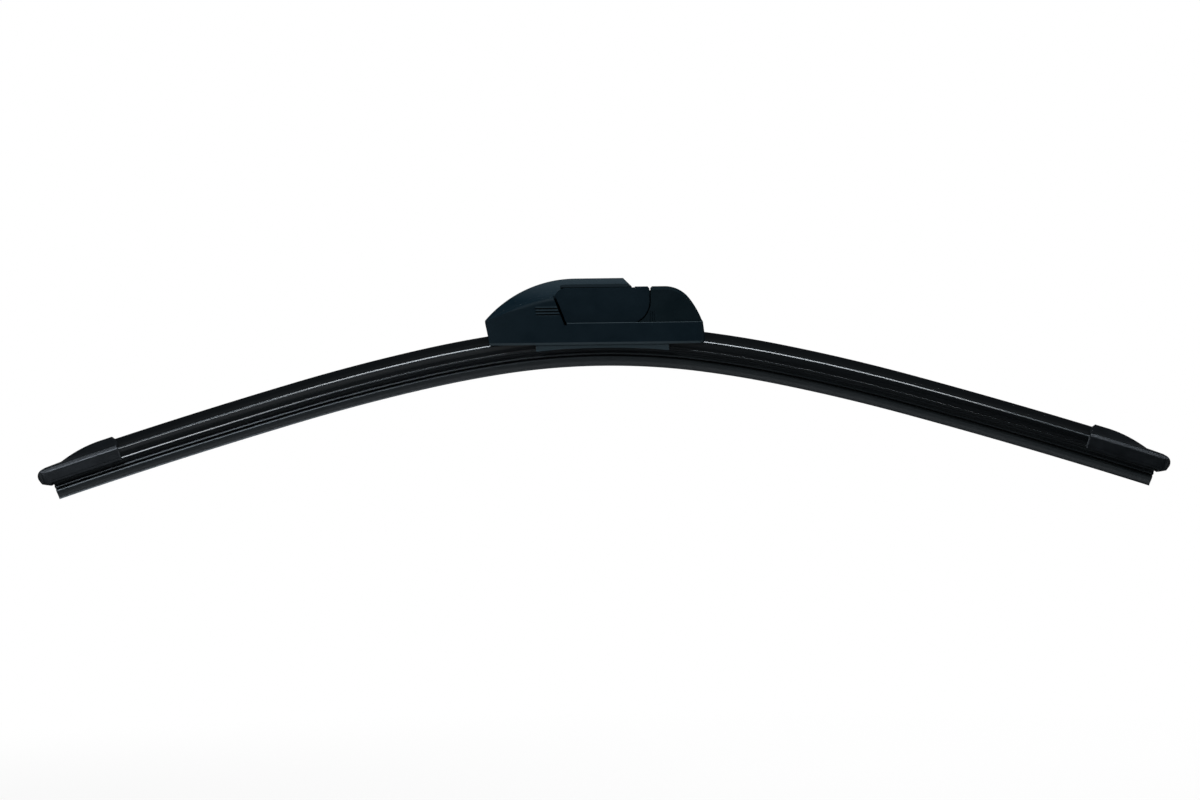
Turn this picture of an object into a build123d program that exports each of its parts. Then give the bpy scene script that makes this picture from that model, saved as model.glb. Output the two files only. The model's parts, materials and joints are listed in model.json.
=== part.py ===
import os
from math import cos, degrees, radians, sin, tan

from build123d import *

# Flat wiper blade with a hook fitting, in millimetres.
# X runs along the blade, Y across it and Z away from the glass.
# The origin is the middle of the pivot pin's axis.

# Blade line: a symmetric row of tangent arcs through the middle of the rails
blade_length = 500.0
crown_radius = 312.0
crown_half_length = 44.0
shoulder_radius = 470.0
shoulder_length = 32.0
flank_radius = 850.0
flank_length = 57.0
tip_radius = 2690.0
pivot_height = 17.0

# Spring rails
rail_width = 3.5
rail_thickness = 0.8
rail_setback = 7.0
rail_play = 0.05

# Rubber element, from the head down to the lip
rubber_setback = 5.5
web_width = 2.1
head_width = 5.4
head_height = 1.8
flange_width = 5.8
flange_thickness = 1.9
waist_width = 3.0
waist_height = 1.0
rib_width = 6.2
rib_thickness = 0.85
neck_width = 1.2
neck_height = 0.85
shoulder_width = 5.0
shoulder_height = 0.8
taper_height = 2.7
lip_width = 0.9
lip_height = 0.8

# Spoilers
spoiler_play = 0.15
spoiler_setback = 24.0
spoiler_width = 12.4
spoiler_foot = 0.8
ledge_level = 4.2
ledge_width = 0.5
ledge_bevel = 0.9
ridge_level = 7.6
ridge_offset = 3.4
ridge_width = 1.0
far_shoulder_level = 3.2
slot_play = 0.12
head_room = 0.35
mouth_room = 0.4
edge_round = 0.35
bead_height = 0.85
bead_groove = 0.3

# End caps
cap_length = 37.0
cap_clearance = 0.15
cap_wall = 1.15
cap_crest_length = 7.0
cap_fin_length = 26.0
cap_mouth_bevel = 2.0
cap_mouth_fall = 2.9
cap_mouth_rim = 0.5
cap_nose_radius = 3.6
cap_nose_drop = 2.3
cap_toe_rise = 2.0
cap_toe_rake = 1.1
cap_end_room = 0.3

# Saddle bracket, folded from steel sheet
saddle_sheet = 1.2
saddle_half_length = 23.0
claw_start = 14.0
claw_length = 8.0
saddle_room = 0.35
ear_radius = 4.0
ear_foot_half_length = 8.0
ear_gap = 0.3

# Pivot
pin_diameter = 4.0
pin_press_gap = 0.02
pin_running_gap = 0.05
pin_recess = 0.15
pin_mark_diameter = 5.6
pin_mark_depth = 0.4
adapter_swing = 8.0

# Hook adapter
core_width = 9.2
core_height = 9.0
core_nose = 13.0
cheek_wall = 1.4
cheek_rise = 2.9
cheek_drop = 3.7
cheek_lap = 0.7
cheek_corner_radius = 9.6
cheek_crown_x = -15.5
cheek_skin = 0.5
far_cheek_drop = 1.9
tail_start = 8.6
tail_end = 20.4
gap_top_x = -20.1
gap_top_z = 4.5
gap_lean = 21.0
gap_width = 1.1
swing_room = 0.2

# Connector base
base_left = -50.3
base_right = 44.3
base_wall = 1.1
base_sweep = 18.0
base_rake = 12.0
front_rake = 7.0
base_corner = 4.0
band_ledge = 0.6
band_foot = 0.2
band_bevel = 1.0
deck_thickness = 1.2
deck_half_length = 28.5
skirt_wall = 1.0
skirt_room = 0.35
tunnel_room = 0.3

# Fairing cover
fairing_drop = 1.0
fairing_foot = 1.4
fairing_wall = 1.3
fairing_top = 11.1
fairing_radius = 52.0
fairing_arc = 55.0
fairing_crest_x = -11.5
fairing_near_level = 4.6
fairing_near_round = 2.4
fairing_ridge_width = 0.7
fairing_ridge_round = 0.3
fin_end = 12.9
fin_side_room = 0.9
fin_swing_room = 0.3
fin_root_length = 6.0
hook_bend_room = 4.8
groove_count = 3
groove_pitch = 1.3
groove_height = 0.7
groove_depth = 0.5
groove_length = 11.0
groove_level = -2.5

# Locating rims of the two covers
rim_length = 4.0
rim_wall = 0.9
rim_room = 0.1
rim_lap = 3.0

# Nose cap
nose_gap = 0.5
nose_wall = 1.1
nose_crest_end = 27.0
nose_shoulder_x = 37.5
nose_shoulder_drop = 5.1
nose_set_in = 0.2
nose_bevel = 1.0
far_lap_drop = 1.7
far_lap_gap = 0.3
notch_bevel = 0.7
arm_side_gap = 0.6
trough_wall = 1.0
tick_count = 3
tick_pitch = 0.86
tick_width = 0.35
tick_depth = 0.25
tick_length = 4.6

# Derived levels and half widths
half_length = blade_length / 2
groove_half = rail_thickness / 2 + rail_play
rail_inner = web_width / 2 + rail_play
rail_outer = rail_inner + rail_width
rail_end = half_length - rail_setback
rubber_end = half_length - rubber_setback
spoiler_start = deck_half_length + spoiler_play
spoiler_end = half_length - spoiler_setback
head_top = groove_half + head_height
slot_half_height = rail_thickness / 2 + slot_play
slot_half_width = rail_outer + slot_play
mouth_half = flange_width / 2 + mouth_room
head_cavity_half = head_width / 2 + mouth_room
head_cavity_top = head_top + head_room
foot_level = -slot_half_height - spoiler_foot
spoiler_half = spoiler_width / 2
cap_mouth = half_length - cap_length

core_half = core_width / 2
core_top = core_height / 2
ear_inner = core_half + ear_gap
ear_outer = ear_inner + saddle_sheet
cheek_inner = ear_outer + ear_gap
cheek_outer = cheek_inner + cheek_wall
cheek_top = core_top + cheek_rise
cheek_bottom = -core_top - cheek_drop
far_cheek_top = core_top - far_cheek_drop
saddle_floor = -pivot_height + head_top + saddle_room
deck_bottom = saddle_floor + saddle_sheet
deck_top = deck_bottom + deck_thickness
skirt_inner = ear_outer + skirt_room
nose_inner = cheek_outer + swing_room
nose_half = nose_inner + nose_wall
base_half = nose_half + band_ledge
base_inner = base_half - base_wall
base_end_half = spoiler_half + tunnel_room + base_wall
band_top = cheek_bottom + cheek_lap
band_bottom = -pivot_height + band_foot
fairing_seat = band_top - fairing_drop
fin_near_edge = core_half + fin_side_room
swing_slope = sin(radians(adapter_swing))
fin_floor = max(far_cheek_top - gap_top_x * swing_slope, core_top + fin_end * swing_slope) + fin_swing_room
nose_left = tail_end + nose_gap
tail_reach = tail_end + cheek_top * swing_slope
front_lean = (band_top - band_bottom) * tan(radians(front_rake))
nose_foot = base_right - front_lean - nose_set_in
arm_half = core_half + arm_side_gap

# Longer than any piece, for cuts that run right through
beyond = 60.0


# Blade line
def blade_spans():
    lengths = [crown_half_length, shoulder_length, flank_length]
    lengths.append(half_length - sum(lengths))
    radii = [crown_radius, shoulder_radius, flank_radius, tip_radius]
    return list(zip(lengths, radii))


# Plane square to the blade line at an arc length: local x is across, local y is up
def station(distance):
    x = 0.0
    z = -pivot_height
    turn = 0.0
    left = distance
    for length, radius in blade_spans():
        step = min(left, length)
        end = turn + step / radius
        x += radius * (sin(end) - sin(turn))
        z += radius * (cos(end) - cos(turn))
        turn = end
        left -= step
    return Plane(origin=(x, 0, z), x_dir=(0, 1, 0), z_dir=(cos(turn), 0, -sin(turn)))


# A section carried along the right half of the blade line
def along_blade(section, start, stop):
    pieces = []
    begin = 0.0
    for length, radius in blade_spans():
        low = max(start, begin)
        high = min(stop, begin + length)
        if high > low:
            plane = station(low)
            centre = plane.origin - plane.y_dir * radius
            turn = degrees((high - low) / radius)
            pieces.append(revolve(plane * section, axis=Axis(centre, (0, 1, 0)), revolution_arc=turn))
        begin += length
    return Part() + pieces


def other_side(shape):
    return mirror(shape, about=Plane.YZ)


def both_sides(shape):
    return shape + other_side(shape)


# Closed section from the right half of its outline, listed from the top down
def even_section(right_half):
    left_half = [(-across, up) for across, up in reversed(right_half)]
    return make_face(Polyline(*right_half, *left_half, close=True))


def box_section(low_y, high_y, low_w, high_w):
    corners = [(low_y, low_w), (high_y, low_w), (high_y, high_w), (low_y, high_w)]
    return make_face(Polyline(*corners, close=True))


def block(low_x, high_x, low_y, high_y, low_z, high_z):
    centre = ((low_x + high_x) / 2, (low_y + high_y) / 2, (low_z + high_z) / 2)
    return Pos(*centre) * Box(high_x - low_x, high_y - low_y, high_z - low_z)


# Side outline in X and Z, given depth from one Y to another
def side_solid(face, low_y, high_y):
    return Pos(0, high_y, 0) * extrude(Plane.XZ * face, amount=high_y - low_y)


def plan_solid(face, low_z, high_z):
    return Pos(0, 0, low_z) * extrude(face, amount=high_z - low_z)


# Section of the rubber, built up downwards from its head
def rubber_section():
    flange_bottom = -groove_half - flange_thickness
    rib_top = flange_bottom - waist_height
    rib_bottom = rib_top - rib_thickness
    shoulder_top = rib_bottom - neck_height
    shoulder_bottom = shoulder_top - shoulder_height
    lip_top = shoulder_bottom - taper_height
    slope = neck_height / 3
    return even_section([
        (head_width / 2, head_top),
        (head_width / 2, groove_half),
        (web_width / 2, groove_half),
        (web_width / 2, -groove_half),
        (flange_width / 2, -groove_half),
        (flange_width / 2, flange_bottom),
        (waist_width / 2, flange_bottom),
        (waist_width / 2, rib_top),
        (rib_width / 2, rib_top),
        (rib_width / 2, rib_bottom),
        (neck_width / 2, rib_bottom - slope),
        (neck_width / 2, shoulder_top + slope),
        (shoulder_width / 2, shoulder_top),
        (shoulder_width / 2, shoulder_bottom),
        (lip_width / 2, lip_top),
        (lip_width / 2, lip_top - lip_height),
    ])


# Outer section of the spoiler: near wall, bevelled ledge, concave face, ridge and far wall
def spoiler_outline():
    ledge_end = (-spoiler_half + ledge_width, ledge_level)
    ridge_near = (ridge_offset, ridge_level)
    ridge_far = (ridge_offset + ridge_width, ridge_level)
    walls = Polyline(
        ridge_far,
        (spoiler_half, far_shoulder_level),
        (spoiler_half, foot_level),
        (-spoiler_half, foot_level),
        (-spoiler_half, ledge_level - ledge_bevel),
        ledge_end,
    )
    face = TangentArc(ledge_end, ridge_near, tangent=(1, 0))
    return make_face(Curve() + [walls, face, Line(ridge_near, ridge_far)])


# Room for the rails, the rubber's head and its flange
def channel_section():
    slot = box_section(-slot_half_width, slot_half_width, -slot_half_height, slot_half_height)
    head = box_section(-head_cavity_half, head_cavity_half, 0, head_cavity_top)
    mouth = box_section(-mouth_half, mouth_half, -beyond, 0)
    return slot + head + mouth


# Grooves that set off a bead along the foot of both walls
def bead_grooves(half, foot):
    low = foot + bead_height
    groove = box_section(half - bead_groove, half, low, low + bead_groove)
    return groove + mirror(groove, about=Plane.YZ)


def wiper_rubber():
    return both_sides(along_blade(rubber_section(), 0, rubber_end))


def flexor_rail():
    section = box_section(rail_inner, rail_outer, -rail_thickness / 2, rail_thickness / 2)
    return both_sides(along_blade(section, 0, rail_end))


def spoiler():
    outline = spoiler_outline()
    corners = [v for v in outline.vertices() if v.Y > far_shoulder_level + edge_round]
    outline = fillet(corners, edge_round)
    section = outline - channel_section() - bead_grooves(spoiler_half, foot_level)
    return along_blade(section, spoiler_start, spoiler_end)


# Side outline of the cap: mouth bevel, crest, falling fin, deck, rounded nose and rising toe
def cap_profile(deck, crest):
    sole = foot_level - cap_clearance
    step = rubber_end + cap_end_room - cap_mouth
    nose_low = sole - cap_nose_drop + spoiler_foot
    crest_start = (cap_mouth_bevel, crest)
    crest_end = (cap_crest_length, crest)
    fin_end_point = (cap_fin_length, deck)
    nose_start = (cap_length - cap_nose_radius, deck - edge_round)
    nose_end = (cap_length, deck - edge_round - cap_nose_radius)
    toe = (cap_length - cap_toe_rake, nose_low + cap_toe_rise)
    lower = Polyline(
        nose_end,
        toe,
        (step, nose_low),
        (step, sole),
        (0, sole),
        (0, crest - cap_mouth_fall),
        crest_start,
        crest_end,
    )
    fall = TangentArc(crest_end, fin_end_point, tangent=(1, 0))
    deck_line = Line(fin_end_point, nose_start)
    nose = RadiusArc(nose_start, nose_end, cap_nose_radius)
    return make_face(Curve() + [lower, fall, deck_line, nose])


def end_cap():
    outline = spoiler_outline()
    skin = cap_clearance + cap_wall
    outer = offset(outline, amount=skin, kind=Kind.ARC)
    cavity = offset(outline, amount=cap_clearance, kind=Kind.INTERSECTION)
    cap = along_blade(outer, cap_mouth, half_length)
    mouth = station(cap_mouth)
    side = Plane(origin=mouth.origin, x_dir=mouth.z_dir, z_dir=(0, -1, 0))
    cap &= extrude(side * cap_profile(ledge_level + skin, ridge_level + skin), amount=beyond, both=True)
    plan = Plane(origin=mouth.origin, x_dir=mouth.z_dir, z_dir=mouth.y_dir)
    tip = fillet(
        Rectangle(2 * cap_length, spoiler_width + 2 * skin).vertices(), cap_nose_radius
    )
    cap &= extrude(plan * tip, amount=beyond, both=True)
    opening = cap.faces().sort_by(Axis(mouth.origin, mouth.z_dir))[0]
    rim = opening.edges().sort_by(Axis(mouth.origin, mouth.y_dir))[1:-1]
    cap = chamfer(rim, cap_mouth_rim)
    cap -= along_blade(cavity, cap_mouth, spoiler_end + cap_end_room)
    cap -= along_blade(channel_section(), cap_mouth, rubber_end + cap_end_room)
    rails = box_section(-slot_half_width, slot_half_width, -slot_half_height, slot_half_height)
    cap -= along_blade(rails, cap_mouth, rail_end + cap_end_room)
    cap -= along_blade(bead_grooves(spoiler_half + skin, foot_level - cap_clearance), cap_mouth, rubber_end)
    return cap


# Sheet steel saddle: floor over the rubber's head, four claws round the rails, two ears
def saddle_bracket():
    wall_top = saddle_floor + pivot_height + saddle_sheet
    wall = box_section(ear_inner, ear_outer, -slot_half_height - saddle_sheet, wall_top)
    foot = box_section(mouth_half, ear_outer, -slot_half_height - saddle_sheet, -slot_half_height)
    shoulder = box_section(head_cavity_half, ear_outer, slot_half_height, slot_half_height + saddle_sheet)
    claw = wall + foot + shoulder
    claws = along_blade(claw, claw_start, claw_start + claw_length)
    claws += mirror(claws, about=Plane.XZ)
    claws = both_sides(claws)
    claws &= block(-beyond, beyond, -beyond, beyond, -beyond, deck_bottom)
    floor = block(-saddle_half_length, saddle_half_length, -ear_outer, ear_outer, saddle_floor, deck_bottom)
    ear_face = Circle(ear_radius) + make_face(Polyline(
        (-ear_radius, 0),
        (ear_radius, 0),
        (ear_foot_half_length, saddle_floor),
        (-ear_foot_half_length, saddle_floor),
        close=True,
    ))
    ear_face -= Circle(pin_diameter / 2 + pin_press_gap)
    ears = side_solid(ear_face, ear_inner, ear_outer) + side_solid(ear_face, -ear_outer, -ear_inner)
    return floor + claws + ears


# Pin pushed in from the far side, up to the skin of the near cheek
def pivot_pin():
    reach = cheek_outer - pin_recess
    return side_solid(Circle(pin_diameter / 2), cheek_skin - reach, reach)


# Plan of the connector: parallel sides that draw in towards both ends
def connector_plan(set_in, shrink):
    side = base_half - set_in - shrink
    end = base_end_half - set_in - shrink
    left = base_left + set_in + shrink
    right = base_right - set_in - shrink
    rear = TangentArc((left + base_sweep, side), (left, end), tangent=(-1, 0))
    flank = Line((left + base_sweep, side), (right - base_sweep, side))
    front = TangentArc((right - base_sweep, side), (right, end), tangent=(1, 0))
    half = Curve() + [rear, flank, front]
    ends = [Line((left, end), (left, -end)), Line((right, end), (right, -end))]
    plan = make_face(half + mirror(half, about=Plane.XZ) + ends)
    corners = plan.vertices().group_by(Axis.X)
    return fillet(corners[0] + corners[-1], base_corner - set_in - shrink)


# The connector between its raked ends, moved in by a wall
def between_rakes(shift):
    rake_top = fairing_seat + fairing_foot
    left = base_left + shift
    right = base_right - shift
    rear_lean = beyond * tan(radians(base_rake))
    front_slope = beyond * tan(radians(front_rake))
    face = make_face(Polyline(
        (left, beyond),
        (left, rake_top),
        (left + rear_lean, rake_top - beyond),
        (right + front_slope, band_bottom - beyond),
        (right - front_slope, band_bottom + beyond),
        (right - front_slope, beyond),
        close=True,
    ))
    return side_solid(face, -beyond, beyond)


def connector_base():
    shell = plan_solid(connector_plan(0, 0), band_bottom, band_top)
    shell = chamfer(shell.faces().sort_by(Axis.Z)[0].edges(), band_bevel)
    shell &= between_rakes(0)
    hollow = plan_solid(connector_plan(0, base_wall), band_bottom - beyond, band_top + beyond)
    hollow &= between_rakes(base_wall)
    deck = hollow & block(-deck_half_length, deck_half_length, -beyond, beyond, deck_bottom, deck_top)
    for side in (-1, 1):
        deck -= block(
            -ear_foot_half_length,
            ear_foot_half_length,
            min(side * (ear_inner - ear_gap), side * (ear_outer + ear_gap)),
            max(side * (ear_inner - ear_gap), side * (ear_outer + ear_gap)),
            deck_bottom,
            deck_top,
        )
    skirt = block(
        -deck_half_length,
        deck_half_length,
        skirt_inner,
        skirt_inner + skirt_wall,
        deck_bottom - beyond,
        deck_top,
    )
    skirt += mirror(skirt, about=Plane.XZ)
    above_foot = box_section(-beyond, beyond, foot_level, beyond)
    skirt &= both_sides(along_blade(above_foot, 0, deck_half_length + skirt_wall))
    base = shell - hollow + deck + skirt
    base -= block(-beyond, gap_edge(fairing_seat), -beyond, beyond, fairing_seat, beyond)
    tunnel = offset(spoiler_outline(), amount=tunnel_room, kind=Kind.INTERSECTION)
    base -= both_sides(along_blade(tunnel, deck_half_length, deck_half_length + beyond))
    return base


# Left edge of the adapter at a height: the gap to the fairing leans with it
def gap_edge(level):
    return gap_top_x + (gap_top_z - level) * tan(radians(gap_lean))


# Side outline of the adapter: level top, crown that falls to the leaning left edge, rounded lower corner
def adapter_profile():
    corner = (tail_end - cheek_corner_radius, cheek_bottom)
    corner_end = (tail_end, cheek_bottom + cheek_corner_radius)
    crown_start = (cheek_crown_x, cheek_top)
    crown_end = (gap_top_x, gap_top_z)
    top = Polyline(
        corner_end,
        (tail_end, cheek_top - notch_bevel),
        (tail_end - notch_bevel, cheek_top),
        crown_start,
    )
    crown = TangentArc(crown_start, crown_end, tangent=(-1, 0))
    edge = Polyline(crown_end, (gap_edge(cheek_bottom), cheek_bottom), corner)
    round_corner = RadiusArc(corner, corner_end, -cheek_corner_radius)
    return make_face(Curve() + [top, crown, edge, round_corner])


def hook_adapter():
    body = side_solid(adapter_profile(), -cheek_outer, cheek_outer)
    near_cheek = block(-beyond, beyond, -cheek_outer, -cheek_inner, -beyond, beyond)
    far_cheek = block(-beyond, beyond, cheek_inner, cheek_outer, -beyond, far_cheek_top)
    tail = block(tail_start, beyond, -cheek_outer, cheek_outer, -beyond, core_top)
    guide_start = fin_end + cheek_top * swing_slope + fin_swing_room
    guides = block(guide_start, beyond, -cheek_outer, cheek_outer, -beyond, beyond)
    guides -= block(-beyond, beyond, -arm_half, arm_half, core_top, beyond)
    adapter = body & (near_cheek + far_cheek + tail + guides)
    core_left = core_top - core_nose
    core = Pos(core_left, 0) * Circle(core_top)
    core += make_face(Polyline(
        (core_left, -core_top),
        (tail_start + cheek_wall, -core_top),
        (tail_start + cheek_wall, core_top),
        (core_left, core_top),
        close=True,
    ))
    adapter += side_solid(core, -core_half, core_half)
    bore = Circle(pin_diameter / 2 + pin_running_gap)
    adapter -= side_solid(bore, cheek_skin - cheek_outer, cheek_outer)
    mark = Circle(pin_mark_diameter / 2)
    return adapter - side_solid(mark, cheek_outer - pin_mark_depth, cheek_outer)


# Cross section of the fairing: near wall, concave upper face and ridge on the far side
def fairing_section(shrink):
    near = -base_half + shrink
    back = base_half - shrink
    foot = fairing_top - fairing_radius / 2
    crease = (near, fairing_near_level - shrink)
    ridge = (back - fairing_ridge_width, fairing_top - shrink)
    ridge_end = (back, fairing_top - shrink)
    walls = Polyline(ridge, ridge_end, (back, foot), (near, foot), crease)
    return make_face(Curve() + [walls, TangentArc(crease, ridge, tangent=(1, 0))])


# The section swung down to the left until its crease meets the corner of the base, drawn straight
# to the right, and kept under the long arc of the cover's outline
def fairing_form(section, shrink):
    run = fairing_crest_x - base_left
    drop = fairing_near_level - fairing_seat - fairing_foot
    swing_radius = (run ** 2 + drop ** 2) / (2 * drop)
    crest = Plane(origin=(fairing_crest_x, 0, 0), x_dir=(0, 1, 0), z_dir=(1, 0, 0))
    swing = Axis((fairing_crest_x, 0, fairing_near_level - swing_radius), (0, -1, 0))
    scooped = revolve(crest * section, axis=swing, revolution_arc=fairing_arc)
    scooped += extrude(crest * section, amount=fin_end - fairing_crest_x)
    dome = Pos(fairing_crest_x, fairing_top - fairing_radius) * Circle(fairing_radius - shrink)
    under = side_solid(dome, -beyond, beyond)
    under += block(fairing_crest_x, fin_end, -beyond, beyond, -beyond, fairing_top - shrink)
    return scooped & under


# Rims that reach down inside the base's walls to its deck, on both sides
def locating_rims(low_x, seat):
    outer = base_inner - rim_room
    rim = block(low_x, low_x + rim_length, outer - rim_wall, outer, deck_top, seat + rim_lap)
    return rim + mirror(rim, about=Plane.XZ)


def fairing_cover():
    outline = fairing_section(0)
    crease = outline.vertices().sort_by(Axis.Y)[2]
    outline = fillet(crease, fairing_near_round)
    ridge = outline.vertices().group_by(Axis.Y)[-1]
    outline = fillet(ridge, fairing_ridge_round)
    plan = connector_plan(0, 0)
    form = fairing_form(outline, 0) & plan_solid(plan, fairing_seat, beyond)
    form &= between_rakes(0)
    hollow = fairing_form(fairing_section(fairing_wall), fairing_wall)
    hollow &= plan_solid(connector_plan(0, fairing_wall), -beyond, beyond)
    hollow &= between_rakes(fairing_wall)
    edge_top = gap_edge(beyond) - gap_width
    edge_low = gap_edge(-beyond) - gap_width
    left_of_gap = side_solid(
        make_face(Polyline(
            (edge_low, -beyond),
            (edge_top, beyond),
            (-beyond, beyond),
            (-beyond, -beyond),
            close=True,
        )),
        -beyond,
        beyond,
    )
    far_side = block(-beyond, fin_end, nose_inner, beyond, band_top, beyond)
    far_foot = gap_edge(fairing_seat) - far_lap_gap
    far_side += block(-beyond, far_foot, nose_inner, beyond, fairing_seat, beyond)
    tongue = block(-beyond, -core_nose - hook_bend_room, -ear_outer, ear_outer, band_top, beyond)
    shell = (form - hollow) & (left_of_gap + far_side + tongue)
    fin_face = make_face(Polyline(
        (fin_near_edge, beyond),
        (fin_near_edge, cheek_top),
        (cheek_outer, fin_floor),
        (beyond, fin_floor),
        (beyond, beyond),
        close=True,
    ))
    fin_root = gap_edge(fin_floor) - gap_width - fin_root_length
    fin = Plane(origin=(fin_root, 0, 0), x_dir=(0, 1, 0), z_dir=(1, 0, 0)) * fin_face
    fin = form & extrude(fin, amount=fin_end - fin_root)
    end_rise = fairing_top - cheek_top
    end_bevel = make_face(Polyline(
        (fin_end, cheek_top),
        (fin_end, fairing_top),
        (fin_end - end_rise, fairing_top),
        close=True,
    ))
    cover = shell + fin - side_solid(end_bevel, -beyond, beyond)
    cover += locating_rims(-deck_half_length, fairing_seat)
    for index in range(groove_count):
        level = groove_level + (index - (groove_count - 1) / 2) * groove_pitch
        right = gap_edge(level)
        groove = block(
            right - groove_length,
            right,
            base_half - groove_depth,
            base_half,
            level - groove_height / 2,
            level + groove_height / 2,
        )
        cover -= groove
        cover -= mirror(groove, about=Plane.XZ)
    return cover


# Falling front of the nose cap, moved in by a wall: a brow arc and a front arc
def nose_front(shrink):
    top = cheek_top - shrink
    crest_end = (nose_crest_end, top)
    shoulder = (nose_shoulder_x - shrink / 2, top - nose_shoulder_drop)
    brow = TangentArc(crest_end, shoulder, tangent=(1, 0))
    front = TangentArc(shoulder, (nose_foot - shrink, band_top), tangent=brow % 1)
    return Curve() + [brow, front]


# Side outline of the nose cap, with a left edge that goes round the adapter's corner
def nose_profile():
    arc_radius = cheek_corner_radius + nose_gap
    arc_level = cheek_bottom + cheek_corner_radius
    arc_x = tail_end - cheek_corner_radius
    reach = (arc_radius ** 2 - (arc_level - band_top) ** 2) ** 0.5
    heel = (arc_x + reach, band_top)
    edge = (nose_left, arc_level)
    crest = Polyline(
        edge,
        (nose_left, cheek_top - notch_bevel),
        (nose_left + notch_bevel, cheek_top),
        (nose_crest_end, cheek_top),
    )
    under = RadiusArc(heel, edge, -arc_radius)
    return make_face(nose_front(0) + [crest, Line((nose_foot, band_top), heel), under])


# Room under the nose cap, open to the left and below
def nose_room():
    open_end = Polyline(
        (nose_foot - nose_wall, band_top),
        (nose_foot - nose_wall, deck_bottom),
        (tail_start, deck_bottom),
        (tail_start, cheek_top - nose_wall),
        (nose_crest_end, cheek_top - nose_wall),
    )
    return make_face(nose_front(nose_wall) + open_end)


# Rounded cap with a trough in its crest, where the arm lies
def nose_cap():
    plan = plan_solid(connector_plan(band_ledge, 0), band_top, beyond)
    cap = side_solid(nose_profile(), -beyond, beyond) & plan
    outer = [e for e in cap.edges() if abs(e.center().Y) > cheek_inner]
    upper = [e for e in outer if e.center().Z > band_top + nose_bevel]
    brow = [e for e in upper if e.center().X > nose_left + notch_bevel]
    cap = chamfer(brow, nose_bevel)
    room = side_solid(nose_room(), -beyond, beyond)
    room &= plan_solid(connector_plan(band_ledge, nose_wall), -beyond, beyond)
    trough_half = arm_half + trough_wall
    trough = block(tail_reach, beyond, -trough_half, trough_half, core_top - trough_wall, beyond)
    arm_way = block(-beyond, beyond, -arm_half, arm_half, core_top, beyond)
    cap = cap - (room - trough) - arm_way
    lap_top = cheek_top - far_lap_drop
    cap += block(fin_end + far_lap_gap, nose_left + nose_wall, nose_inner, nose_half, band_top, lap_top)
    cap += locating_rims(deck_half_length - rim_length, band_top)
    for index in range(tick_count):
        left = nose_left + (index - 1 / 2) * tick_pitch
        tick = block(
            left,
            left + tick_width,
            nose_half - tick_depth,
            nose_half,
            band_top,
            band_top + tick_length,
        )
        cap -= tick
        cap -= mirror(tick, about=Plane.XZ)
    return cap


nodes = {
    "wiper_rubber": wiper_rubber(),
    "flexor_rail_far": flexor_rail(),
    "flexor_rail_near": mirror(flexor_rail(), about=Plane.XZ),
    "spoiler_right": spoiler(),
    "spoiler_left": other_side(spoiler()),
    "end_cap_right": end_cap(),
    "end_cap_left": other_side(end_cap()),
    "saddle_bracket": saddle_bracket(),
    "pivot_pin": pivot_pin(),
    "connector_base": connector_base(),
    "hook_adapter": hook_adapter(),
    "fairing_cover": fairing_cover(),
    "nose_cap": nose_cap(),
}

os.makedirs("parts", exist_ok=True)
for name, shape in nodes.items():
    export_step(shape, f"parts/{name}.step")
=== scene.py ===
import json
import math
import bmesh
import bpy
from mathutils import Matrix, Vector


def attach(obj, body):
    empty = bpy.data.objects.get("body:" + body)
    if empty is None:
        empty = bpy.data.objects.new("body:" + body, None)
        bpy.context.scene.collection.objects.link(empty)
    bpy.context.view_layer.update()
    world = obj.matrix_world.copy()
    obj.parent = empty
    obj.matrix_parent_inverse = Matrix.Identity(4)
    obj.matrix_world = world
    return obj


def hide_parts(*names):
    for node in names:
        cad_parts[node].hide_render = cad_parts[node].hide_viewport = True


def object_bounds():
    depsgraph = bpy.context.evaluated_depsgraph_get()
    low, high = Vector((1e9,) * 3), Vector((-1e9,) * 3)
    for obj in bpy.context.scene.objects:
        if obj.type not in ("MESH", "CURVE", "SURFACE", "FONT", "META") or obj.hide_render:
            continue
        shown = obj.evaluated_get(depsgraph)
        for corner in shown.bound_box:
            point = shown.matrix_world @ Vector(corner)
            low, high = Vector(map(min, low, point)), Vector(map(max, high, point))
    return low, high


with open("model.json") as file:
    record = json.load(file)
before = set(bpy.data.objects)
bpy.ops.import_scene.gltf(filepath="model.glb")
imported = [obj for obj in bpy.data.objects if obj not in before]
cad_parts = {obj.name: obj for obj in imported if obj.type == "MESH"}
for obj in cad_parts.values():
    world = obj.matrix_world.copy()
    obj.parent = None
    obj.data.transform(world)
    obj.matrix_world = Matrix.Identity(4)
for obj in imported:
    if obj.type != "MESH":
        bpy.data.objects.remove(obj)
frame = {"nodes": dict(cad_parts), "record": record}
cadLow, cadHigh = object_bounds()
mm = 0.001
print("frame loaded with", len(frame["nodes"]), "nodes")

# the bow of the blade: tangent arcs from the middle out to a tip, (length, radius)
bladeLine = {
    "pivotHeight": 17.0 * mm,
    "halfLength": 250.0 * mm,
    "halfSpans": (
        (44.0 * mm, 312.0 * mm),
        (32.0 * mm, 470.0 * mm),
        (57.0 * mm, 850.0 * mm),
        (117.0 * mm, 2690.0 * mm),
    ),
    "stepTurn": math.radians(0.6),
    "longestStep": 6.0 * mm,
    "slack": 1e-9,
}

# how meshes are welded, rounded and shaded
meshFinish = {
    "weld": 1e-7,
    "solidWeld": 2e-6,
    "mirrorWeld": 1e-6,
    "flatTurn": math.radians(0.2),
    "cornerTurn": math.radians(32),
    "sweptSharp": math.radians(35),
    "mouldedSharp": math.radians(40),
    "ringSegments": 3,
    "edgeSegments": 2,
}


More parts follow.
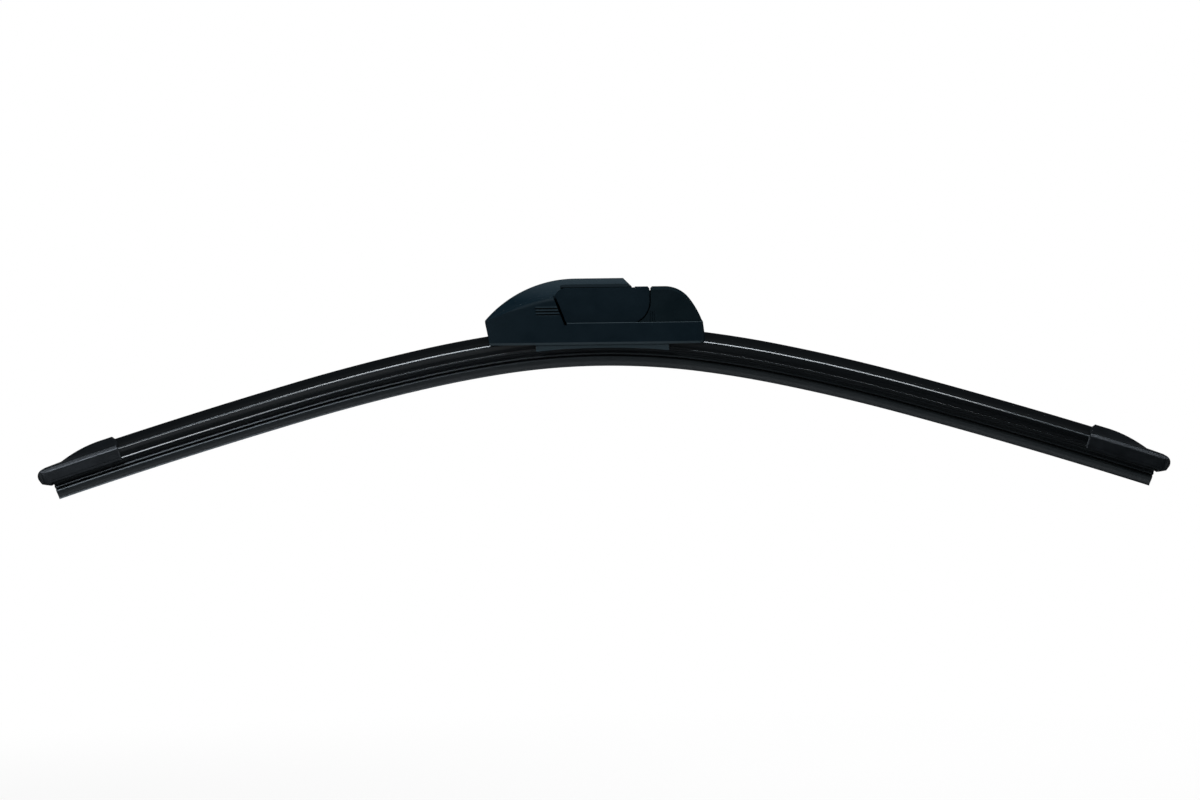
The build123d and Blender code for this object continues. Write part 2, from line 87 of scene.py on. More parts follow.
# the arcs of the right half as (start, length, radius, turn at start, centre)
def bladeArcs():
    arcs = []
    begin = 0.0
    turn = 0.0
    x, z = 0.0, -bladeLine["pivotHeight"]
    for length, radius in bladeLine["halfSpans"]:
        centre = Vector((x - radius * math.sin(turn), 0.0, z - radius * math.cos(turn)))
        arcs.append((begin, length, radius, turn, centre))
        turn += length / radius
        x = centre.x + radius * math.sin(turn)
        z = centre.z + radius * math.cos(turn)
        begin += length
    return arcs


# matrix that puts a section (across, up) at an arc length on the right half
def stationAt(distance):
    for begin, length, radius, turn, centre in bladeArcs():
        if distance <= begin + length + bladeLine["slack"]:
            here = turn + (distance - begin) / radius
            lift = Matrix.Translation((0, 0, radius))
            return Matrix.Translation(centre) @ Matrix.Rotation(here, 4, "Y") @ lift
    raise ValueError("past the end of the blade line")


# arc length, across and height of a point near the blade line, the left half negative
def bladeSpace(point):
    side = -1.0 if point.x < 0 else 1.0
    for begin, _, radius, turn, centre in reversed(bladeArcs()):
        angle = math.atan2(abs(point.x) - centre.x, point.z - centre.z)
        if angle >= turn or begin == 0.0:
            height = math.hypot(abs(point.x) - centre.x, point.z - centre.z) - radius
            return side * (begin + (angle - turn) * radius), point.y, height


# closed ring of a section of (across, up, round) corners, standing at its place
def sectionRing(bm, corners, place):
    verts = [bm.verts.new((0.0, across, up)) for across, up, _ in corners]
    for first, second in zip(verts, verts[1:] + verts[:1]):
        bm.edges.new((first, second))
    rounds = [radius for _, _, radius in corners]
    for radius in sorted({own for own in rounds if own}):
        bmesh.ops.bevel(
            bm, geom=[vert for vert, own in zip(verts, rounds) if own == radius],
            offset=radius, offset_type="OFFSET", segments=meshFinish["ringSegments"],
            profile=0.5, affect="VERTICES", clamp_overlap=True, material=-1,
        )
    bmesh.ops.transform(bm, matrix=place, verts=list(bm.verts))
    return list(bm.edges)


# ring carried along the right half of the blade line by one spin for each arc
def spinAlong(bm, ring, start, stop):
    for begin, length, radius, _, centre in bladeArcs():
        low = max(start, begin)
        high = min(stop, begin + length)
        if high - low < bladeLine["slack"]:
            continue
        angle = (high - low) / radius
        finest = max(angle / bladeLine["stepTurn"], (high - low) / bladeLine["longestStep"])
        grown = bmesh.ops.spin(
            bm, geom=ring, cent=centre, axis=(0, 1, 0), dvec=(0, 0, 0), angle=angle,
            steps=max(1, math.ceil(finest)), use_merge=False, use_normal_flip=False,
            use_duplicate=False,
        )
        ring = [g for g in grown["geom_last"] if isinstance(g, bmesh.types.BMEdge)]
    return ring


# finished bmesh made an object, with blade coordinates stored for patterns that follow the bow
def makePiece(bm, name, sharp, follow=False):
    bmesh.ops.remove_doubles(bm, verts=list(bm.verts), dist=meshFinish["weld"])
    bmesh.ops.recalc_face_normals(bm, faces=list(bm.faces))
    mesh = bpy.data.meshes.new(name)
    bm.to_mesh(mesh)
    bm.free()
    mesh.shade_smooth()
    mesh.set_sharp_from_angle(angle=sharp)
    if follow:
        spot = mesh.attributes.new("bladeSpace", "FLOAT_VECTOR", "POINT")
        for index, vert in enumerate(mesh.vertices):
            spot.data[index].vector = bladeSpace(vert.co)
    piece = bpy.data.objects.new(name, mesh)
    bpy.context.scene.collection.objects.link(piece)
    return piece


# a piece's finish, its body, and the solids it stands in for
def dress(piece, material, body, slot, *nodes):
    piece.data.materials.clear()
    piece.data.materials.append(material)
    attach(piece, body)
    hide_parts(*nodes)


# a new material and its shader
def newMaterial(name, colour, roughness, specular):
    material = bpy.data.materials.new(name)
    material.use_nodes = True
    shader = material.node_tree.nodes["Principled BSDF"]
    shader.inputs["Base Color"].default_value = (*colour, 1.0)
    shader.inputs["Roughness"].default_value = roughness
    shader.inputs["Specular IOR Level"].default_value = specular
    return material, shader


def addNode(material, kind, **sockets):
    node = material.node_tree.nodes.new(kind)
    for socket, value in sockets.items():
        node.inputs[socket].default_value = value
    return node


def tie(material, source, target):
    material.node_tree.links.new(source, target)


# noise on the piece's own coordinates, stretched by a scale for each axis
def stretchedNoise(material, coordinates, scale, detail, rough=0.55):
    mapping = addNode(material, "ShaderNodeMapping", Scale=scale)
    tie(material, coordinates, mapping.inputs["Vector"])
    noise = addNode(material, "ShaderNodeTexNoise", Scale=1.0, Detail=detail, Roughness=rough)
    tie(material, mapping.outputs["Vector"], noise.inputs["Vector"])
    return noise.outputs["Fac"]


def rangeNode(tree, value, fromLow, fromHigh, low, high, curve="SMOOTHSTEP"):
    span = tree.nodes.new("ShaderNodeMapRange")
    span.interpolation_type = curve
    limits = {"From Min": fromLow, "From Max": fromHigh, "To Min": low, "To Max": high}
    for socket, number in limits.items():
        span.inputs[socket].default_value = number
    tree.links.new(value, span.inputs["Value"])
    return span.outputs["Result"]


# straight range, from where a noise mostly lies unless told otherwise
def ranged(material, value, low, high, fromLow=0.3, fromHigh=0.7):
    return rangeNode(material.node_tree, value, fromLow, fromHigh, low, high, "LINEAR")


def mathNode(tree, operation, first, second):
    node = tree.nodes.new("ShaderNodeMath")
    node.operation = operation
    for socket, value in zip(node.inputs, (first, second)):
        if isinstance(value, (int, float)):
            socket.default_value = value
        else:
            tree.links.new(value, socket)
    return node.outputs[0]


def separated(tree, vector):
    parts = tree.nodes.new("ShaderNodeSeparateXYZ")
    tree.links.new(vector, parts.inputs[0])
    return parts.outputs


# where the mix node keeps its colour sockets
mixSockets = {"factor": 0, "first": 6, "second": 7, "result": 2}


def blendColour(material, factor, first, second):
    mix = material.node_tree.nodes.new("ShaderNodeMix")
    mix.data_type = "RGBA"
    mix.inputs[mixSockets["first"]].default_value = (*first, 1.0)
    mix.inputs[mixSockets["second"]].default_value = (*second, 1.0)
    tie(material, factor, mix.inputs[mixSockets["factor"]])
    return mix.outputs[mixSockets["result"]]


# base colour that drifts between two tones
def cloudColour(material, shader, clouds, form):
    drift = ranged(material, clouds, 0.0, 1.0)
    tone = blendColour(material, drift, form["colour"], form["paler"])
    tie(material, tone, shader.inputs["Base Color"])


# a second colour laid over what the shader has so far
def layColour(material, share, colour):
    shader = material.node_tree.nodes["Principled BSDF"]
    plain = shader.inputs["Base Color"].links[0].from_socket
    laid = blendColour(material, share, colour, colour)
    tie(material, plain, laid.node.inputs[mixSockets["first"]])
    tie(material, laid, shader.inputs["Base Color"])


def addBump(material, shader, height, form):
    bump = addNode(
        material, "ShaderNodeBump", Distance=form["bumpDepth"], Strength=form["bumpStrength"])
    tie(material, height, bump.inputs["Height"])
    tie(material, bump.outputs["Normal"], shader.inputs["Normal"])


def objectSpace(material):
    return material.node_tree.nodes.new("ShaderNodeTexCoord").outputs["Object"]


def alongSpace(material):
    spot = material.node_tree.nodes.new("ShaderNodeAttribute")
    spot.attribute_name = "bladeSpace"
    return spot.outputs["Vector"]


# extruded rubber: die lines that run along the blade, and a slow change of sheen
rubberLook = {
    "specular": 0.5,
    "tint": (0.76, 0.89, 1.0),
    "coatRough": 0.12,
    "lineStretch": 9.0,
    "lineDetail": 4.0,
    "cloudScale": (35.0, 220.0, 220.0),
    "cloudDetail": 2.0,
    "bumpDepth": 0.04 * mm,
    "bumpStrength": 0.35,
}
rubbers = {
    "wipingRubber": {
        "colour": (0.005, 0.007, 0.008), "paler": (0.009, 0.011, 0.012),
        "rough": (0.28, 0.4), "dieLines": 2600.0, "coat": 0.0,
    },
    "spoilerRubber": {
        "colour": (0.0008, 0.0011, 0.0014), "paler": (0.0012, 0.0017, 0.002),
        "rough": (0.24, 0.34), "dieLines": 2200.0, "coat": 0.5,
    },
}


def extrudedRubber(name, form):
    look = rubberLook
    low, high = form["rough"]
    material, shader = newMaterial(name, form["colour"], low, look["specular"])
    shader.inputs["Specular Tint"].default_value = (*look["tint"], 1.0)
    shader.inputs["Coat Weight"].default_value = form["coat"]
    shader.inputs["Coat Roughness"].default_value = look["coatRough"]
    space = alongSpace(material)
    lineScale = (look["lineStretch"], form["dieLines"], form["dieLines"])
    streaks = stretchedNoise(material, space, lineScale, look["lineDetail"])
    clouds = stretchedNoise(material, space, look["cloudScale"], look["cloudDetail"])
    cloudColour(material, shader, clouds, form)
    tie(material, ranged(material, streaks, low, high), shader.inputs["Roughness"])
    addBump(material, shader, streaks, look)
    return material


# moulded plastic: fine eroded grain from the tool and faint handling marks
plasticLook = {
    "grainDetail": 3.0,
    "grainRough": 0.6,
    "cloudScale": (110.0, 140.0, 140.0),
    "cloudDetail": 3.0,
    "bumpDepth": 0.05 * mm,
    "bumpStrength": 0.4,
}
connectorTone = {"colour": (0.0013, 0.005, 0.0083), "paler": (0.0022, 0.0066, 0.0105)}
connectorSheen = {"rough": (0.5, 0.6), "grain": 4200.0, "specular": 0.08, "tint": (0.8, 0.95, 1.0)}
plastics = {
    "capPlastic": {
        "colour": (0.002, 0.0027, 0.0034), "paler": (0.003, 0.004, 0.005),
        "rough": (0.3, 0.38), "grain": 5200.0, "specular": 0.52, "tint": (0.78, 0.88, 1.0),
    },
    "basePlastic": {**connectorTone, **connectorSheen},
    "hoodPlastic": {**connectorTone, **connectorSheen},
    "adapterPlastic": {**connectorTone, **connectorSheen},
    "nosePlastic": {
        "colour": (0.0011, 0.0042, 0.0062), "paler": (0.0018, 0.0054, 0.0078),
        **connectorSheen,
    },
}


def mouldedPlastic(name, form):
    look = plasticLook
    low, high = form["rough"]
    material, shader = newMaterial(name, form["colour"], low, form["specular"])
    shader.inputs["Specular Tint"].default_value = (*form["tint"], 1.0)
    space = objectSpace(material)
    grainScale = (form["grain"], form["grain"], form["grain"])
    grains = stretchedNoise(material, space, grainScale, look["grainDetail"], look["grainRough"])
    clouds = stretchedNoise(material, space, look["cloudScale"], look["cloudDetail"])
    cloudColour(material, shader, clouds, form)
    tie(material, ranged(material, clouds, low, high), shader.inputs["Roughness"])
    addBump(material, shader, grains, look)
    return material


# rolled strip or coated sheet: fine lines along the length
steelLook = {
    "specular": 0.5,
    "lineScale": (60.0, 2600.0, 2600.0),
    "lineDetail": 3.0,
    "bumpDepth": 0.02 * mm,
    "bumpStrength": 0.2,
}
steels = {
    "springSteel": {"colour": (0.42, 0.43, 0.44), "metallic": 1.0, "rough": (0.24, 0.38)},
    "bracketSteel": {"colour": (0.01, 0.01, 0.011), "metallic": 0.0, "rough": (0.4, 0.55)},
    "pinSteel": {"colour": (0.03, 0.03, 0.032), "metallic": 0.6, "rough": (0.3, 0.42)},
}


def sheetSteel(name, form):
    look = steelLook
    low, high = form["rough"]
    material, shader = newMaterial(name, form["colour"], low, look["specular"])
    shader.inputs["Metallic"].default_value = form["metallic"]
    space = objectSpace(material)
    lines = stretchedNoise(material, space, look["lineScale"], look["lineDetail"])
    tie(material, ranged(material, lines, low, high), shader.inputs["Roughness"])
    addBump(material, shader, lines, look)
    return material


# second colours that come in from one height to another, all painted light: a painted reflection
# on the lip, a painted sheen on the hood's crown, a painted highlight on the base's rim and
# painted light under the band
fades = {
    # painted reflection: the lower lip painted paler, standing in for the white below reflected in
    # it
    "lipPaintedReflection": {
        "finish": "wipingRubber", "space": alongSpace, "colour": (0.022, 0.024, 0.026),
        "start": -6.9 * mm, "full": -7.7 * mm,
    },
    # painted sheen: the hood painted paler towards its crown, where it faces the light above
    "crownPaintedSheen": {
        "finish": "hoodPlastic", "space": objectSpace, "colour": (0.014, 0.022, 0.028),
        "start": 2.0 * mm, "full": 11.6 * mm,
    },
    # painted highlight: a pale line along the top edge of the base's band
    "rimPaintedHighlight": {
        "finish": "basePlastic", "space": objectSpace, "colour": (0.035, 0.05, 0.06),
        "start": -7.75 * mm, "full": -7.62 * mm,
    },
    # painted light: the down-facing chamfer and the skirt under the band painted paler, where the
    # lamps reach little
    "bandFootPaintedLight": {
        "finish": "basePlastic", "space": objectSpace, "colour": (0.023, 0.035, 0.043),
        "start": -15.7 * mm, "full": -15.95 * mm,
    },
}


def fadeByHeight(material, form):
    height = separated(material.node_tree, form["space"](material))["Z"]
    start, full = form["start"], form["full"]
    if start < full:
        share = ranged(material, height, 0.0, 1.0, start, full)
    else:
        share = ranged(material, height, 1.0, 0.0, full, start)
    layColour(material, share, form["colour"])


# grip grooves of the hood: a painted highlight on the lands between them, painted shade on their
# floors
gripPaintedLight = {
    "along": (-28.4 * mm, -18.5 * mm),
    "height": (-4.3 * mm, -0.4 * mm),
    "edge": 0.15 * mm,
    "land": -1.85 * mm,
    "pitch": 1.3 * mm,
    # painted highlight on the lands
    "landHighlight": (0.014, 0.024, 0.031),
    # painted shade in the groove floors
    "floorColour": (0.0002, 0.0006, 0.001),
}


def paintGripLight(material, form):
    tree = material.node_tree
    parts = separated(tree, objectSpace(material))
    inside = 1.0
    for axis, (low, high) in (("X", form["along"]), ("Z", form["height"])):
        rise = ranged(material, parts[axis], 0.0, 1.0, low - form["edge"], low)
        fall = ranged(material, parts[axis], 1.0, 0.0, high, high + form["edge"])
        inside = mathNode(tree, "MULTIPLY", inside, mathNode(tree, "MULTIPLY", rise, fall))
    offset = mathNode(tree, "SUBTRACT", parts["Z"], form["land"])
    phase = mathNode(tree, "MULTIPLY", offset, math.tau / form["pitch"])
    wave = mathNode(tree, "COSINE", phase, 0.0)
    for sign, colour in ((1.0, form["landHighlight"]), (-1.0, form["floorColour"])):
        peak = mathNode(tree, "MAXIMUM", mathNode(tree, "MULTIPLY", wave, sign), 0.0)
        layColour(material, mathNode(tree, "MULTIPLY", inside, peak), colour)


finishes = {}
for make, table in ((extrudedRubber, rubbers), (mouldedPlastic, plastics), (sheetSteel, steels)):
    for name, form in table.items():
        finishes[name] = make(name, form)
for form in fades.values():
    fadeByHeight(finishes[form["finish"]], form)
paintGripLight(finishes["hoodPlastic"], gripPaintedLight)
print("materials made:", len(finishes))

# wiping rubber: head, rail grooves, flange, waist, rib, neck, shoulder and lip
rubber = {
    "setback": 5.5 * mm,
    "soft": 0.2 * mm,
    "fine": 0.1 * mm,
    "draft": 0.28 * mm,
    "headHalf": 2.7 * mm,
    "headTop": 2.25 * mm,
    "grooveHalf": 0.45 * mm,
    "webHalf": 1.05 * mm,
    "flangeHalf": 2.9 * mm,
    "flangeFoot": -2.35 * mm,
    "waistHalf": 1.5 * mm,
    "ribHalf": 3.1 * mm,
    "ribTop": -3.35 * mm,
    "ribFoot": -4.2 * mm,
    "neckHalf": 0.6 * mm,
    "neckSlope": 0.283 * mm,
    "shoulderHalf": 2.5 * mm,
    "shoulderTop": -5.05 * mm,
    "shoulderFoot": -5.85 * mm,
    "lipHalf": 0.45 * mm,
    "lipDraft": 0.18 * mm,
    "lipTop": -8.55 * mm,
    "lipFoot": -9.35 * mm,
}


# mirror image of a row of corners
def flipped(corners):
    return [(-across, up, radius) for across, up, radius in corners]


# right half from the head down, its ribs drawn in a little at the top, then its image back up
def rubberSection(form):
    soft, fine, draft = form["soft"], form["fine"], form["draft"]
    right = [
        (form["headHalf"], form["headTop"], soft),
        (form["headHalf"], form["grooveHalf"], fine),
        (form["webHalf"], form["grooveHalf"], fine),
        (form["webHalf"], -form["grooveHalf"], fine),
        (form["flangeHalf"] - draft, -form["grooveHalf"], fine),
        (form["flangeHalf"], form["flangeFoot"], soft),
        (form["waistHalf"], form["flangeFoot"], fine),
        (form["waistHalf"], form["ribTop"], fine),
        (form["ribHalf"] - draft, form["ribTop"], soft),
        (form["ribHalf"], form["ribFoot"], soft),
        (form["neckHalf"], form["ribFoot"] - form["neckSlope"], fine),
        (form["neckHalf"], form["shoulderTop"] + form["neckSlope"], fine),
        (form["shoulderHalf"] - draft, form["shoulderTop"], soft),
        (form["shoulderHalf"], form["shoulderFoot"], soft),
        (form["lipHalf"] - form["lipDraft"], form["lipTop"], fine),
        (form["lipHalf"], form["lipFoot"], 0.0),
    ]
    return right + flipped(reversed(right))


def makeRubber():
    bm = bmesh.new()
    ring = sectionRing(bm, rubberSection(rubber), stationAt(0.0))
    last = spinAlong(bm, ring, 0.0, bladeLine["halfLength"] - rubber["setback"])
    bmesh.ops.contextual_create(bm, geom=last)
    half = list(bm.verts) + list(bm.edges) + list(bm.faces)
    bmesh.ops.mirror(bm, geom=half, axis="X", merge_dist=meshFinish["mirrorWeld"])
    piece = makePiece(bm, "wiperRubber", meshFinish["sweptSharp"], follow=True)
    dress(piece, finishes["wipingRubber"], "blade", "wiping_rubber", "wiper_rubber")


makeRubber()
print("rubber made")

# spoilers: bevelled ledge, concave face up to the ridge, channel for rails and rubber head
spoiler = {
    "start": 28.65 * mm,
    "setback": 24.0 * mm,
    "halfWidth": 6.2 * mm,
    "foot": -1.32 * mm,
    "ledgeLevel": 4.2 * mm,
    "ledgeWidth": 0.5 * mm,
    "ledgeBevel": 0.9 * mm,
    "ridgeLevel": 7.6 * mm,
    "ridgeOffset": 3.4 * mm,
    "ridgeWidth": 1.0 * mm,
    "farShoulder": 3.2 * mm,
    "slot": (4.77 * mm, 0.52 * mm),
    "headRoom": (3.1 * mm, 2.6 * mm),
    "mouth": 3.3 * mm,
    "edgeRound": 0.35 * mm,
    "wallRound": 0.12 * mm,
    "beadTop": -0.47 * mm,
    "beadGroove": 0.3 * mm,
    "grooveRound": 0.1 * mm,
    "beadRound": 0.28 * mm,
    "beadDraft": 0.2 * mm,
    "faceSteps": 12,
}


# points of the concave face: an arc that leaves the ledge level and ends at the ridge
def concaveFace(form):
    start = Vector((-form["halfWidth"] + form["ledgeWidth"], form["ledgeLevel"]))
    end = Vector((form["ridgeOffset"], form["ridgeLevel"]))
    run, rise = end - start
    radius = (run * run + rise * rise) / (2 * rise)
    steps = form["faceSteps"]
    turns = [2 * math.atan2(rise, run) * step / steps for step in range(steps + 1)]
    return [
        (start.x + radius * math.sin(turn), start.y + radius * (1 - math.cos(turn)))
        for turn in turns
    ]


def spoilerSection(form):
    half, foot, mouth = form["halfWidth"], form["foot"], form["mouth"]
    slotHalf, slotHeight = form["slot"]
    headHalf, headTop = form["headRoom"]
    beadTop, groove = form["beadTop"], form["beadGroove"]
    soft, fine = form["edgeRound"], form["grooveRound"]
    face = concaveFace(form)
    wall = [
        (half, foot, form["beadRound"]),
        (half - form["beadDraft"], beadTop, fine),
        (half - groove, beadTop, 0.0),
        (half - groove, beadTop + groove, 0.0),
        (half, beadTop + groove, fine),
    ]
    outside = [
        (-mouth, foot, 0.0),
        *flipped(wall),
        (-half, form["ledgeLevel"] - form["ledgeBevel"], form["wallRound"]),
        (*face[0], soft),
        *[(across, up, 0.0) for across, up in face[1:-1]],
        (*face[-1], soft),
        (form["ridgeOffset"] + form["ridgeWidth"], form["ridgeLevel"], soft),
        (half, form["farShoulder"], soft),
        *reversed(wall),
        (mouth, foot, 0.0),
    ]
    channel = [
        (mouth, -slotHeight, 0.0),
        (slotHalf, -slotHeight, 0.0),
        (slotHalf, slotHeight, 0.0),
        (headHalf, slotHeight, 0.0),
        (headHalf, headTop, 0.0),
    ]
    return outside + channel + flipped(reversed(channel))


def makeSpoiler(side):
    bm = bmesh.new()
    ring = sectionRing(bm, spoilerSection(spoiler), stationAt(spoiler["start"]))
    bmesh.ops.contextual_create(bm, geom=ring)
    stop = bladeLine["halfLength"] - spoiler["setback"]
    last = spinAlong(bm, ring, spoiler["start"], stop)
    bmesh.ops.contextual_create(bm, geom=last)
    if side == "left":
        bmesh.ops.scale(bm, vec=(-1, 1, 1), verts=list(bm.verts))
    piece = makePiece(bm, "spoiler" + side.title(), meshFinish["sweptSharp"], follow=True)
    dress(piece, finishes["spoilerRubber"], "blade", "spoiler_rubber", "spoiler_" + side)


for side in ("left", "right"):
    makeSpoiler(side)
print("spoilers made")

# moulded pieces: a welded copy of the solid with its edges broken by a small round
mouldings = {
    "connector_base": {
        "name": "connectorBase", "finish": "basePlastic", "body": "blade", "edge": 0.25 * mm,
    },
    "fairing_cover": {
        "name": "fairingCover", "finish": "hoodPlastic", "body": "blade", "edge": 0.12 * mm,
    },
    "nose_cap": {
        "name": "noseCap", "finish": "nosePlastic", "body": "blade", "edge": 0.18 * mm,
    },
    "hook_adapter": {
        "name": "hookAdapter", "finish": "adapterPlastic", "body": "adapter", "edge": 0.25 * mm,
    },
    "end_cap_left": {
        "name": "endCapLeft", "finish": "capPlastic", "body": "blade", "edge": 0.2 * mm,
    },
    "end_cap_right": {
        "name": "endCapRight", "finish": "capPlastic", "body": "blade", "edge": 0.2 * mm,
    },
}
slotOf = {entry["node"]: entry["material_slot"] for entry in frame["record"]["subparts"]}


def isCorner(edge):
    return len(edge.link_faces) == 2 and edge.calc_face_angle(0.0) > meshFinish["cornerTurn"]


def makeMoulding(node, form):
    bm = bmesh.new()
    bm.from_mesh(frame["nodes"][node].data)
    bmesh.ops.remove_doubles(bm, verts=list(bm.verts), dist=meshFinish["solidWeld"])
    bmesh.ops.dissolve_limit(
        bm, angle_limit=meshFinish["flatTurn"], use_dissolve_boundaries=False,
        verts=list(bm.verts), edges=list(bm.edges), delimit=set(),
    )
    bmesh.ops.bevel(
        bm, geom=[edge for edge in bm.edges if isCorner(edge)], offset=form["edge"],
        offset_type="OFFSET", segments=meshFinish["edgeSegments"], profile=0.5,
        affect="EDGES", clamp_overlap=True, material=-1,
    )
    # keeps rounding errors inside the box of the solids
    for vert in bm.verts:
        vert.co = [min(max(at, low), high) for at, low, high in zip(vert.co, cadLow, cadHigh)]
    piece = makePiece(bm, form["name"], meshFinish["mouldedSharp"])
    even = piece.modifiers.new("evenNormals", "WEIGHTED_NORMAL")
    even.keep_sharp = True
    dress(piece, finishes[form["finish"]], form["body"], slotOf[node], node)


for node, form in mouldings.items():
    makeMoulding(node, form)
print("mouldings made")

# steel inside: the solids as they are, with their finish
steelNodes = {
    "flexor_rail_far": "springSteel",
    "flexor_rail_near": "springSteel",
    "saddle_bracket": "bracketSteel",
    "pivot_pin": "pinSteel",
}
for node, finish in steelNodes.items():
    solid = frame["nodes"][node]
    solid.data.materials.clear()
    solid.data.materials.append(finishes[finish])
print("steel dressed")

# floor and world: white to the eye, in reflections bright near the object and dim elsewhere
stage = {
    "floorLevel": -0.25,
    "floorSize": 40.0,
    "floorColour": (0.57, 0.57, 0.57),
    "floorRough": 0.9,
    "floorSpecular": 0.1,
    "floorWhite": 0.7,
    "floorGloss": 0.22,
    "sweepNear": 0.3,
    "sweepFar": 0.85,
    "backdropSide": 0.6,
    "backdropFull": 0.95,
    "backdropLow": 0.25,
    "backdropHigh": 0.5,
    "backdropGloss": 0.06,
    "worldFill": 0.03,
    "worldTint": (0.85, 0.93, 1.0),
}


# what kind of ray looks: straight from the camera or through glass, and by reflection
def rayKinds(tree):
    path = tree.nodes.new("ShaderNodeLightPath")
    seen, through = path.outputs["Is Camera Ray"], path.outputs["Is Transmission Ray"]
    return mathNode(tree, "MAXIMUM", seen, through), path.outputs["Is Glossy Ray"]


def mixShaders(tree, share, first, second, output):
    mix = tree.nodes.new("ShaderNodeMixShader")
    for socket, source in zip(mix.inputs, (share, first, second)):
        tree.links.new(source, socket)
    tree.links.new(mix.outputs[0], tree.nodes[output].inputs["Surface"])


def makeFloor():
    bm = bmesh.new()
    bmesh.ops.create_grid(bm, x_segments=1, y_segments=1, size=stage["floorSize"] / 2)
    bmesh.ops.translate(bm, vec=(0, 0, stage["floorLevel"]), verts=list(bm.verts))
    mesh = bpy.data.meshes.new("studioFloor")
    bm.to_mesh(mesh)
    bm.free()
    floor = bpy.data.objects.new("studioFloor", mesh)
    bpy.context.scene.collection.objects.link(floor)
    material, shader = newMaterial(
        "paleFloor", stage["floorColour"], stage["floorRough"], stage["floorSpecular"])
    tree = material.node_tree
    distance = tree.nodes.new("ShaderNodeVectorMath")
    distance.operation = "LENGTH"
    tree.links.new(objectSpace(material), distance.inputs[0])
    away = distance.outputs["Value"]
    near, far = stage["sweepNear"], stage["sweepFar"]
    sweep = rangeNode(tree, away, near, far, stage["floorGloss"], 0.0)
    fade = rangeNode(tree, away, near, far, stage["floorWhite"], 1.0)
    direct, mirrored = rayKinds(tree)
    share = mathNode(tree, "MAXIMUM", mathNode(tree, "MULTIPLY", direct, fade), mirrored)
    white = tree.nodes.new("ShaderNodeEmission")
    tree.links.new(mathNode(tree, "MAXIMUM", direct, sweep), white.inputs["Strength"])
    mixShaders(tree, share, shader.outputs[0], white.outputs[0], "Material Output")
    mesh.materials.append(material)


def makeWorld():
    world = bpy.data.worlds.new("studio")
    bpy.context.scene.world = world
    world.use_nodes = True
    tree = world.node_tree
    fill = tree.nodes["Background"]
    fill.inputs["Color"].default_value = (*stage["worldTint"], 1.0)
    fill.inputs["Strength"].default_value = stage["worldFill"]
    white = tree.nodes.new("ShaderNodeBackground")
    white.inputs["Color"].default_value = (1.0, 1.0, 1.0, 1.0)
    parts = separated(tree, tree.nodes.new("ShaderNodeTexCoord").outputs["Generated"])
    side, full = stage["backdropSide"], stage["backdropFull"]
    low, high = stage["backdropLow"], stage["backdropHigh"]
    behind = rangeNode(tree, parts["Y"], side, full, 0.0, 1.0)
    below = rangeNode(tree, parts["Z"], low, high, 1.0, 0.0)
    direct, mirrored = rayKinds(tree)
    backdrop = mathNode(tree, "MULTIPLY", behind, below)
    glow = mathNode(tree, "MULTIPLY", backdrop, stage["backdropGloss"])
    share = mathNode(tree, "MAXIMUM", direct, mathNode(tree, "MULTIPLY", mirrored, glow))
    mixShaders(tree, share, fill.outputs[0], white.outputs[0], "World Output")


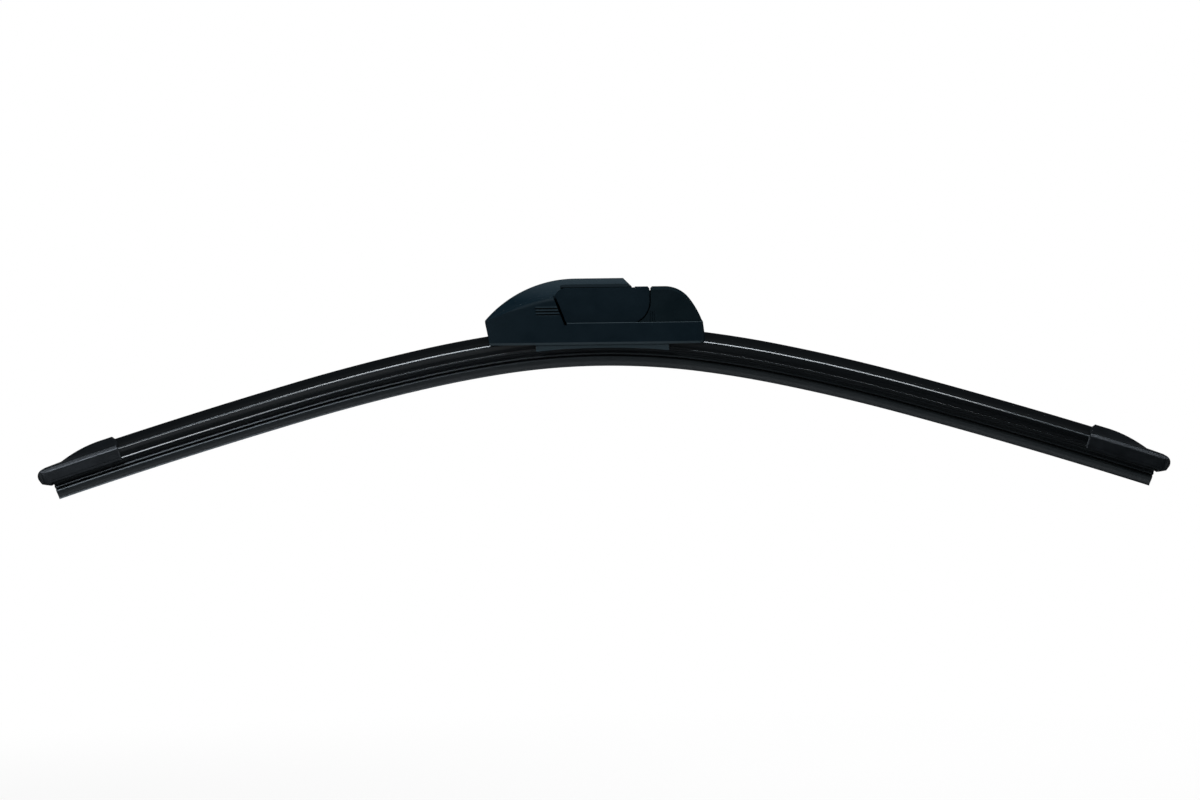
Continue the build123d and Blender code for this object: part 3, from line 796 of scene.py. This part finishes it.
# a mirrored lamp shows in glossy surfaces, the others only light them
lamps = {
    "keyStrip": {
        "place": (0.03, -0.5, 0.75), "aim": (0.03, 0.0, -0.02),
        "size": (0.9, 0.1), "power": 7.1, "mirrored": True,
    },
    "leftBox": {
        "place": (-0.44, -0.75, 0.34), "aim": (-0.2, 0.0, -0.05),
        "size": (0.25, 0.25), "power": 3.5, "mirrored": True,
    },
    "frontCard": {
        "place": (-0.14, -1.1, -0.07), "aim": (-0.1, 0.0, -0.03),
        "size": (0.36, 0.2), "power": 0.085, "mirrored": True,
    },
    "leftEnd": {
        "place": (-0.9, -0.15, 0.0), "aim": (-0.2, 0.0, -0.06),
        "size": (0.35, 0.35), "power": 1.6, "mirrored": True,
    },
    "rightEnd": {
        "place": (0.9, -0.15, 0.0), "aim": (0.2, 0.0, -0.06),
        "size": (0.35, 0.35), "power": 1.1, "mirrored": True,
    },
    "overhead": {
        "place": (-0.05, 0.06, 0.85), "aim": (-0.03, 0.0, 0.0),
        "size": (0.6, 0.3), "power": 6.0, "mirrored": False,
    },
    "backFill": {
        "place": (0.3, 0.75, 0.4), "aim": (0.0, 0.0, -0.03),
        "size": (0.6, 0.4), "power": 8.0, "mirrored": False,
    },
}


def makeLamps():
    for name, form in lamps.items():
        light = bpy.data.lights.new(name, "AREA")
        light.shape = "RECTANGLE"
        light.size, light.size_y = form["size"]
        light.energy = form["power"]
        lamp = bpy.data.objects.new(name, light)
        place = Vector(form["place"])
        lamp.location = place
        lamp.rotation_euler = (Vector(form["aim"]) - place).to_track_quat("-Z", "Y").to_euler()
        lamp.visible_camera = False
        lamp.visible_glossy = form["mirrored"]
        bpy.context.scene.collection.objects.link(lamp)


# camera far off and a little above, rolled as the photo is
shot = {
    "millimetresPerPixel": 0.43,
    "frameWidth": 1200,
    "target": (-1.37 * mm, 0.0, -41.05 * mm),
    "distance": 2.6,
    "elevation": math.radians(2.5),
    "roll": math.radians(0.715),
    "sensor": 36.0,
    "clipEnd": 100.0,
}


def makeCamera():
    data = bpy.data.cameras.new("shot")
    data.sensor_width = shot["sensor"]
    width = shot["frameWidth"] * shot["millimetresPerPixel"] * mm
    data.lens = shot["sensor"] * shot["distance"] / width
    data.clip_end = shot["clipEnd"]
    camera = bpy.data.objects.new("shot", data)
    away = Vector((0.0, -math.cos(shot["elevation"]), math.sin(shot["elevation"])))
    tilt = Matrix.Rotation(math.pi / 2 - shot["elevation"], 4, "X")
    turn = tilt @ Matrix.Rotation(-shot["roll"], 4, "Z")
    stand = Matrix.Translation(Vector(shot["target"]) + away * shot["distance"])
    camera.matrix_world = stand @ turn
    bpy.context.scene.collection.objects.link(camera)
    bpy.context.scene.camera = camera


makeFloor()
makeWorld()
makeLamps()
makeCamera()
bpy.context.scene.view_settings.view_transform = "Standard"
print("stage, lamps and camera made")
